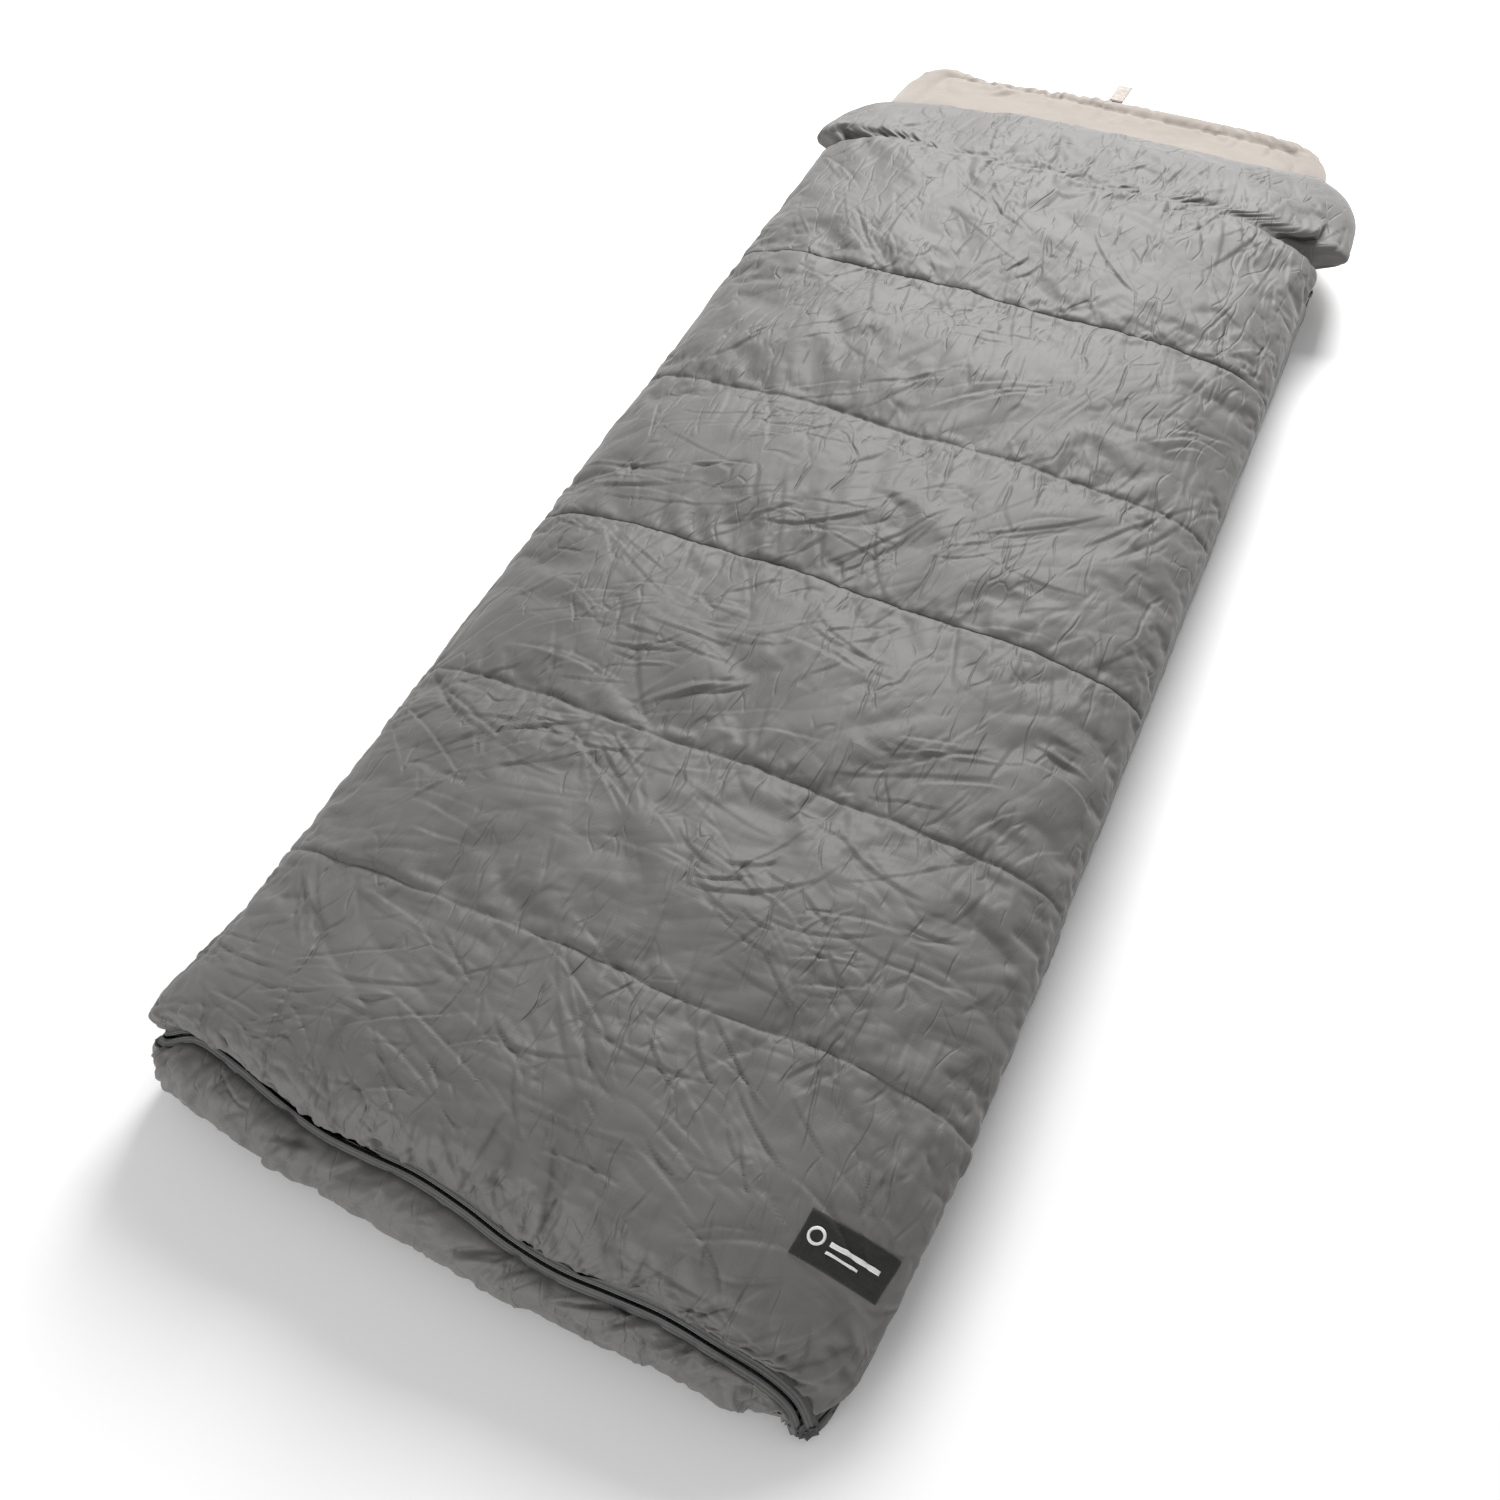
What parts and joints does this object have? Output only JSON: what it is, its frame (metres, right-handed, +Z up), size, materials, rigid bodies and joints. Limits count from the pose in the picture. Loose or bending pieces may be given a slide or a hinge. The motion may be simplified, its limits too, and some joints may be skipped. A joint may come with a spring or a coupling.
{
  "type": "camp quilt",
  "caption": "Camp quilt set: a puffy quilted top with a gathered neck flap, zipped on three sides to a padded mat with a soft lining, laid flat.",
  "frame": {"origin": "on the ground under the middle of the mat", "axes": "+Y from the foot to the head, +Z up, +X to the right seen from the foot end"},
  "size_m": [0.804, 2.2134, 0.168],
  "materials": {
    "shell": "satin",
    "lining": "matte",
    "fill": "matte",
    "zip_tape": "matte",
    "zip_coil": "satin",
    "zip_metal": "satin",
    "label": "matte",
    "elastic": "matte",
    "webbing": "matte"
  },
  "bodies": {
    "mat": {"mat_shell": "shell", "mat_lining": "lining", "mat_fill_1": "fill", "mat_fill_2": "fill", "mat_fill_3": "fill", "mat_fill_4": "fill", "mat_fill_5": "fill", "mat_fill_6": "fill", "mat_fill_7": "fill", "head_tab": "webbing", "foot_tab": "webbing", "long_zip_mat_tape": "zip_tape", "long_zip_mat_coil": "zip_coil", "long_zip_mat_stop": "zip_metal", "long_zip_box": "zip_metal", "side_zip_mat_tape": "zip_tape", "side_zip_mat_coil": "zip_coil", "side_zip_mat_stop": "zip_metal", "side_zip_box": "zip_metal"},
    "quilt": {"quilt_lower_shell": "shell", "quilt_lower_lining": "lining", "quilt_fill_1": "fill", "quilt_fill_2": "fill", "quilt_fill_3": "fill", "quilt_fill_4": "fill", "label": "label", "long_zip_quilt_tape": "zip_tape", "long_zip_quilt_coil": "zip_coil", "long_zip_pin": "zip_metal", "side_zip_quilt_tape": "zip_tape", "side_zip_quilt_coil": "zip_coil", "side_zip_pin": "zip_metal"},
    "quilt_upper": {"quilt_upper_shell": "shell", "quilt_upper_lining": "lining", "quilt_fill_5": "fill", "quilt_fill_6": "fill", "long_zip_upper_tape": "zip_tape", "long_zip_upper_coil": "zip_coil", "long_zip_quilt_stop": "zip_metal", "side_zip_upper_tape": "zip_tape", "side_zip_upper_coil": "zip_coil", "side_zip_quilt_stop": "zip_metal"},
    "neck_flap": {"neck_flap_shell": "shell", "neck_flap_lining": "lining", "neck_flap_fill": "fill", "neck_elastic": "elastic"},
    "long_slider": {"long_zip_slider": "zip_metal"},
    "long_pull": {"long_zip_pull": "zip_metal"},
    "side_slider": {"side_zip_slider": "zip_metal"},
    "side_pull": {"side_zip_pull": "zip_metal"}
  },
  "joints": [
    {"name": "quilt_lift", "type": "slide", "parent": "mat", "child": "quilt", "axis": [0, 0, 1], "range_m": [0, 0.35]},
    {"name": "turn_down", "type": "hinge", "parent": "quilt", "child": "quilt_upper", "pos_m": [0, 0.019, 0.172], "axis": [1, 0, 0], "range_deg": [0, 160]},
    {"name": "neck_fold", "type": "hinge", "parent": "quilt_upper", "child": "neck_flap", "pos_m": [0, 0.622, 0.172], "axis": [1, 0, 0], "range_deg": [0, 165]},
    {"name": "long_zip_slide", "type": "slide", "parent": "mat", "child": "long_slider", "axis": [0, -1, 0], "range_m": [0, 1.41]},
    {"name": "long_pull_swing", "type": "hinge", "parent": "long_slider", "child": "long_pull", "pos_m": [-0.3829, 0.609, 0.079], "axis": [0, 0, -1], "range_deg": [0, 175]},
    {"name": "side_zip_slide", "type": "slide", "parent": "mat", "child": "side_slider", "axis": [0, -1, 0], "range_m": [0, 1.41]},
    {"name": "side_pull_swing", "type": "hinge", "parent": "side_slider", "child": "side_pull", "pos_m": [0.3829, 0.609, 0.079], "axis": [0, 0, 1], "range_deg": [0, 175]}
  ]
}
